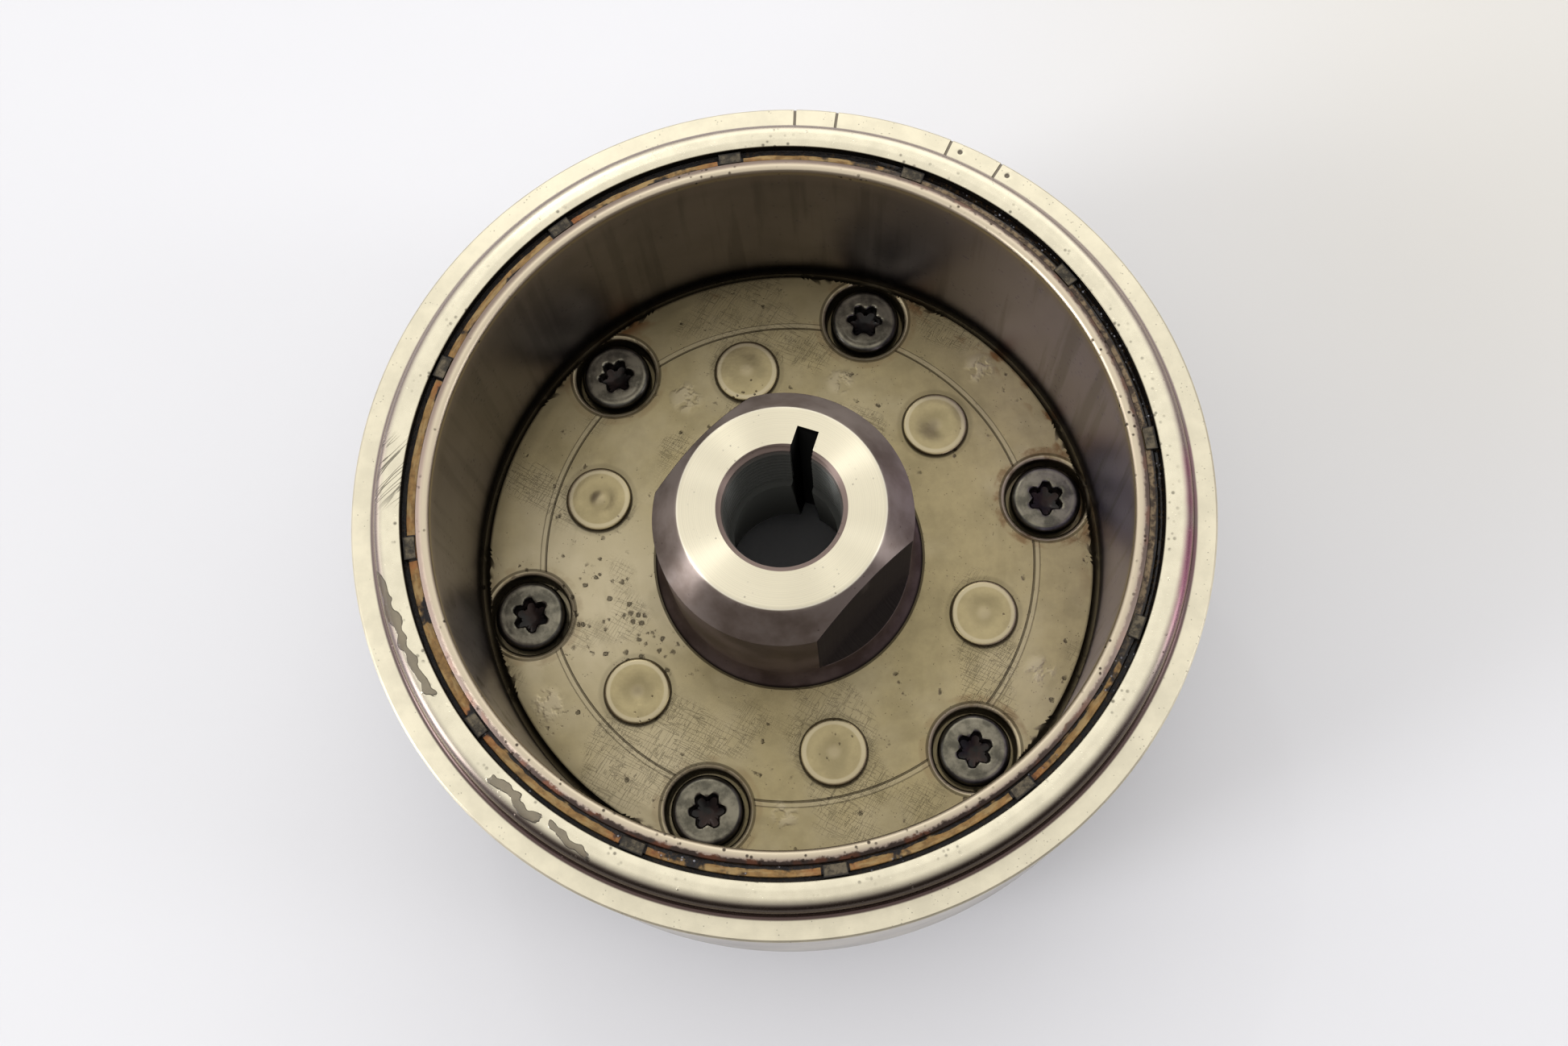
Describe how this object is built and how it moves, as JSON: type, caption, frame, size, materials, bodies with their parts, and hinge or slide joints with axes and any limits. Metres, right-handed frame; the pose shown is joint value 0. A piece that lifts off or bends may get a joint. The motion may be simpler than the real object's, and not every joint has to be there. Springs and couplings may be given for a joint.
{
  "type": "alternator rotor with starter clutch",
  "caption": "Steel alternator rotor cup with magnets behind a thin liner, a riveted tapered hub and a roller starter clutch screwed to its back.",
  "frame": {"origin": "on the rotor axis, at the clutch back face that it stands on", "axes": "+Z along the rotor axis towards the open side with the magnets; +X through a spacer between two magnets"},
  "size_m": [0.13, 0.13, 0.064],
  "materials": {
    "cup_steel": "satin, oil filmed",
    "hub_steel": "turned and polished",
    "liner_stainless": "drawn, bright",
    "amber_varnish": "glossy",
    "clutch_steel": "ground, hardened",
    "rivet_steel": "satin",
    "screw_black_oxide": "satin black oxide",
    "magnet_ferrite": "matt",
    "spacer_moulding": "matt",
    "roller_steel": "ground",
    "plunger_steel": "satin",
    "spring_wire": "satin"
  },
  "bodies": {
    "rotor": {"clutch_outer": "clutch_steel", "clutch_screw_01": "screw_black_oxide", "clutch_screw_02": "screw_black_oxide", "clutch_screw_03": "screw_black_oxide", "clutch_screw_04": "screw_black_oxide", "clutch_screw_05": "screw_black_oxide", "clutch_screw_06": "screw_black_oxide", "hub": "hub_steel", "hub_rivet_01": "rivet_steel", "hub_rivet_02": "rivet_steel", "hub_rivet_03": "rivet_steel", "hub_rivet_04": "rivet_steel", "hub_rivet_05": "rivet_steel", "hub_rivet_06": "rivet_steel", "liner_sleeve": "liner_stainless", "magnet_01": "magnet_ferrite", "magnet_02": "magnet_ferrite", "magnet_03": "magnet_ferrite", "magnet_04": "magnet_ferrite", "magnet_05": "magnet_ferrite", "magnet_06": "magnet_ferrite", "magnet_07": "magnet_ferrite", "magnet_08": "magnet_ferrite", "magnet_09": "magnet_ferrite", "magnet_10": "magnet_ferrite", "magnet_11": "magnet_ferrite", "magnet_12": "magnet_ferrite", "rotor_cup": "cup_steel", "spacer_01": "spacer_moulding", "spacer_02": "spacer_moulding", "spacer_03": "spacer_moulding", "spacer_04": "spacer_moulding", "spacer_05": "spacer_moulding", "spacer_06": "spacer_moulding", "spacer_07": "spacer_moulding", "spacer_08": "spacer_moulding", "spacer_09": "spacer_moulding", "spacer_10": "spacer_moulding", "spacer_11": "spacer_moulding", "spacer_12": "spacer_moulding", "spring_01": "spring_wire", "spring_02": "spring_wire", "spring_03": "spring_wire", "varnish_fill": "amber_varnish"},
    "roller_01": {"roller_01": "roller_steel"},
    "plunger_01": {"plunger_01": "plunger_steel"},
    "roller_02": {"roller_02": "roller_steel"},
    "plunger_02": {"plunger_02": "plunger_steel"},
    "roller_03": {"roller_03": "roller_steel"},
    "plunger_03": {"plunger_03": "plunger_steel"}
  },
  "joints": [
    {"name": "roller_01_slide", "type": "slide", "parent": "rotor", "child": "roller_01", "axis": [0.6626, -0.749, 0], "range_m": [0, 0.004], "stiffness_N_per_m": 400, "springref_m": -0.004, "deforming": ["spring_01"]},
    {"name": "plunger_01_slide", "type": "slide", "parent": "rotor", "child": "plunger_01", "axis": [0.6626, -0.749, 0], "range_m": [0, 0.004]},
    {"name": "roller_02_slide", "type": "slide", "parent": "rotor", "child": "roller_02", "axis": [0.3173, 0.9483, 0], "range_m": [0, 0.004], "stiffness_N_per_m": 400, "springref_m": -0.004, "deforming": ["spring_02"]},
    {"name": "plunger_02_slide", "type": "slide", "parent": "rotor", "child": "plunger_02", "axis": [0.3173, 0.9483, 0], "range_m": [0, 0.004]},
    {"name": "roller_03_slide", "type": "slide", "parent": "rotor", "child": "roller_03", "axis": [-0.9799, -0.1994, 0], "range_m": [0, 0.004], "stiffness_N_per_m": 400, "springref_m": -0.004, "deforming": ["spring_03"]},
    {"name": "plunger_03_slide", "type": "slide", "parent": "rotor", "child": "plunger_03", "axis": [-0.9799, -0.1994, 0], "range_m": [0, 0.004]}
  ],
  "couplings": [
    {"joint": "plunger_01_slide", "follows": "roller_01_slide", "ratio": 1},
    {"joint": "plunger_02_slide", "follows": "roller_02_slide", "ratio": 1},
    {"joint": "plunger_03_slide", "follows": "roller_03_slide", "ratio": 1}
  ]
}
